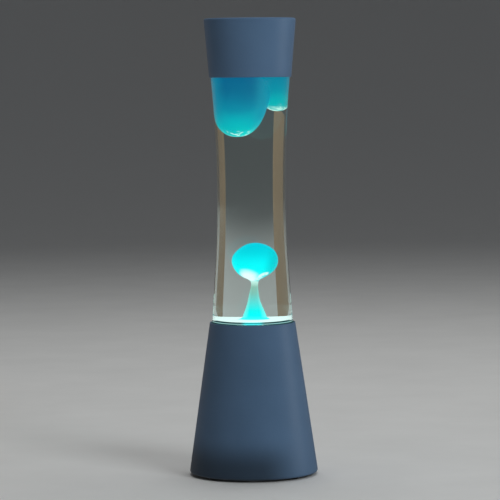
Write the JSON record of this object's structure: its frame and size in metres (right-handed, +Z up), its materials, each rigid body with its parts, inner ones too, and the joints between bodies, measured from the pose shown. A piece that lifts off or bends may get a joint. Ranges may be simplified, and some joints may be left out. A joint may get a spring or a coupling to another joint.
{
  "type": "lava lamp",
  "caption": "Waisted glass lava lamp: cone base with lampholder and bulb, sealed bottle of liquid and wax, and an inverted cone cap.",
  "frame": {"origin": "middle of the floor under the feet, on the lamp's axis", "axes": "+Z up along the lamp's axis, +Y to the rear where the cable leaves, +X to the right seen from the front"},
  "size_m": [0.111, 0.111, 0.395],
  "materials": {
    "shell_paint": "matte, fine powder texture",
    "bare_steel": "satin",
    "zinc_steel": "zinc plated, satin",
    "silicone": "translucent, satin",
    "black_plastic": "fine moulded texture",
    "rubber": "matte",
    "brass": "satin",
    "holder_moulding": "satin thermoset",
    "white_nylon": "satin",
    "tinned": "tinned",
    "wire_brown": "pvc",
    "wire_blue": "pvc",
    "wire_green": "pvc",
    "bulb_cap_metal": "bright",
    "insulator_glass": "vitrified black",
    "solder": "dull solder",
    "bulb_glass": "inside mirrored flank, pearl face",
    "tungsten": "drawn wire",
    "bottle_glass": "clear, polished",
    "crown_metal": "tin plate, lacquered",
    "crown_liner": "soft liner",
    "liquid": "clear fluid",
    "wax": "soft, lit from below",
    "felt": "pressed felt",
    "foam": "closed-cell foam"
  },
  "bodies": {
    "base": {"base_shell": "shell_paint", "block_fixing_screw": "zinc_steel", "bottom_cover": "black_plastic", "bracket_screws": "zinc_steel", "cable_grommet": "rubber", "centre_contact": "brass", "cord_clamp": "bare_steel", "cord_clamp_screws": "zinc_steel", "cover_screws": "zinc_steel", "earth_screw": "brass", "earth_tag": "tinned", "foot_1": "rubber", "foot_2": "rubber", "foot_3": "rubber", "foot_4": "rubber", "holder_bracket": "bare_steel", "holder_nipple": "zinc_steel", "holder_terminals": "brass", "lampholder_body": "holder_moulding", "lampholder_sleeve": "brass", "nipple_nut": "zinc_steel", "seat_gasket": "silicone", "shell_lugs": "bare_steel", "terminal_block": "white_nylon", "terminal_screws": "brass", "terminal_tubes": "brass", "wire_earth": "wire_green", "wire_live": "wire_brown", "wire_neutral": "wire_blue"},
    "bottle": {"bottle_glass": "bottle_glass", "crown_cap": "crown_metal", "crown_liner": "crown_liner", "liquid": "liquid", "wax_pool": "wax", "wax_mass_left": "wax", "wax_mass_right": "wax", "heating_coil": "zinc_steel"},
    "cap": {"cap_shell": "shell_paint", "cap_felt_ring": "felt", "cap_pad": "foam"},
    "bulb_tip": {"bulb_contact": "solder"},
    "bulb": {"bulb_cap": "bulb_cap_metal", "bulb_insulator": "insulator_glass", "bulb_glass": "bulb_glass", "bulb_stem": "bulb_glass", "bulb_leads": "bulb_cap_metal", "bulb_filament": "tungsten"},
    "wax_blob": {"wax_blob": "wax"}
  },
  "joints": [
    {"name": "bottle_lift", "type": "slide", "parent": "base", "child": "bottle", "axis": [0, 0, 1], "range_m": [0, 0.06]},
    {"name": "cap_lift", "type": "slide", "parent": "bottle", "child": "cap", "axis": [0, 0, 1], "range_m": [0, 0.06]},
    {"name": "blob_rise", "type": "slide", "parent": "bottle", "child": "wax_blob", "axis": [0, 0, 1], "range_m": [0, 0.085], "deforming": ["liquid"]},
    {"name": "bulb_rise", "type": "slide", "parent": "base", "child": "bulb_tip", "axis": [0, 0, 1], "range_m": [0, 0.01139]},
    {"name": "bulb_turn", "type": "hinge", "parent": "bulb_tip", "child": "bulb", "pos_m": [0, 0, 0.04], "axis": [0, 0, 1], "range_deg": [0, 1440]}
  ],
  "couplings": [
    {"joint": "bulb_rise", "follows": "bulb_turn", "m_per_rad": 0.00044914}
  ]
}
